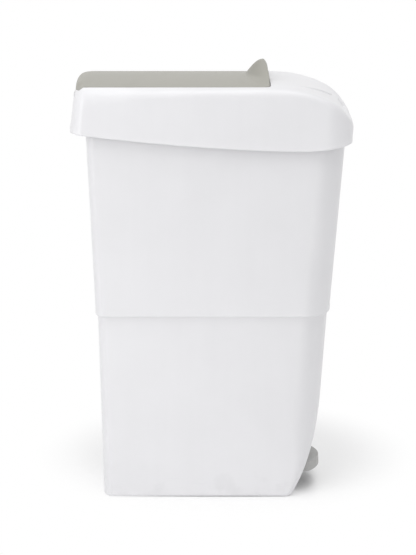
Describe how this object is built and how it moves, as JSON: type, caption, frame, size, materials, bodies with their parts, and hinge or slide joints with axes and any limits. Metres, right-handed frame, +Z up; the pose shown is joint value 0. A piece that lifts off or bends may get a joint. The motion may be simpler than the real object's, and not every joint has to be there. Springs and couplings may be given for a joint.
{
  "type": "sanitary container",
  "caption": "Slim freestanding sanitary container with a step-tapered body, a hood with a hinged flap and finger tab, a hidden chute tray and a foot pedal.",
  "frame": {"origin": "on the floor under the middle of the outside box", "axes": "+X towards the front (pedal and nose), +Y to the container's left, +Z up"},
  "size_m": [0.3437, 0.18, 0.5285],
  "materials": {
    "white_plastic": "satin moulded",
    "inner_white_plastic": "satin moulded",
    "warm_grey_plastic": "fine matt moulded",
    "pedal_grey_plastic": "fine matt moulded",
    "acetal": "smooth moulded",
    "rubber": "matt",
    "zinc_plated_steel": "bright zinc plated"
  },
  "bodies": {
    "bucket": {"bin_body": "white_plastic", "base_plate": "inner_white_plastic", "base_screw_rear_left": "zinc_plated_steel", "base_screw_rear_right": "zinc_plated_steel", "base_screw_front_left": "zinc_plated_steel", "base_screw_front_right": "zinc_plated_steel", "foot_rear_left": "rubber", "foot_rear_right": "rubber", "foot_front_left": "rubber", "foot_front_right": "rubber", "rod_guide_lower": "acetal", "rod_guide_upper": "acetal", "rod_cover": "inner_white_plastic", "liner_ring": "warm_grey_plastic", "return_spring": "zinc_plated_steel"},
    "pedal": {"pedal_lever": "zinc_plated_steel", "pedal_pad": "pedal_grey_plastic", "pedal_axle": "zinc_plated_steel", "axle_clip_left": "zinc_plated_steel", "axle_clip_right": "zinc_plated_steel"},
    "rod": {"rod_foot": "acetal", "push_rod": "zinc_plated_steel", "rod_cap": "acetal", "rod_collar": "acetal"},
    "hood": {"hood": "white_plastic", "throat_frame": "inner_white_plastic", "frame_screw_rear_left": "zinc_plated_steel", "frame_screw_rear_right": "zinc_plated_steel", "frame_screw_front_left": "zinc_plated_steel", "frame_screw_front_right": "zinc_plated_steel", "hinge_bush_left": "acetal", "hinge_bush_right": "acetal", "flap_bumper_left": "rubber", "flap_bumper_right": "rubber", "sachet_holder": "inner_white_plastic"},
    "flap": {"flap": "warm_grey_plastic", "tray": "inner_white_plastic", "flap_crank": "acetal", "hinge_pin": "zinc_plated_steel", "tray_screw_rear_left": "zinc_plated_steel", "tray_screw_rear_right": "zinc_plated_steel", "tray_screw_front_left": "zinc_plated_steel", "tray_screw_front_right": "zinc_plated_steel"}
  },
  "joints": [
    {"name": "pedal_pivot", "type": "hinge", "parent": "bucket", "child": "pedal", "pos_m": [0.008, 0, 0.017], "axis": [0, 1, 0], "range_deg": [0, 9.15]},
    {"name": "rod_slide", "type": "slide", "parent": "bucket", "child": "rod", "axis": [0, 0, 1], "range_m": [0, 0.02104], "stiffness_N_per_m": 120, "springref_m": -0.01, "deforming": ["return_spring"]},
    {"name": "hood_lift", "type": "slide", "parent": "bucket", "child": "hood", "axis": [0, 0, 1], "range_m": [0, 0.12]},
    {"name": "flap_hinge", "type": "hinge", "parent": "hood", "child": "flap", "pos_m": [-0.1462, 0, 0.493], "axis": [0, -1, 0], "range_deg": [0, 52]}
  ],
  "couplings": [
    {"joint": "rod_slide", "follows": "pedal_pivot", "m_per_rad": 0.13174},
    {"joint": "flap_hinge", "follows": "pedal_pivot", "ratio": 5.682}
  ]
}
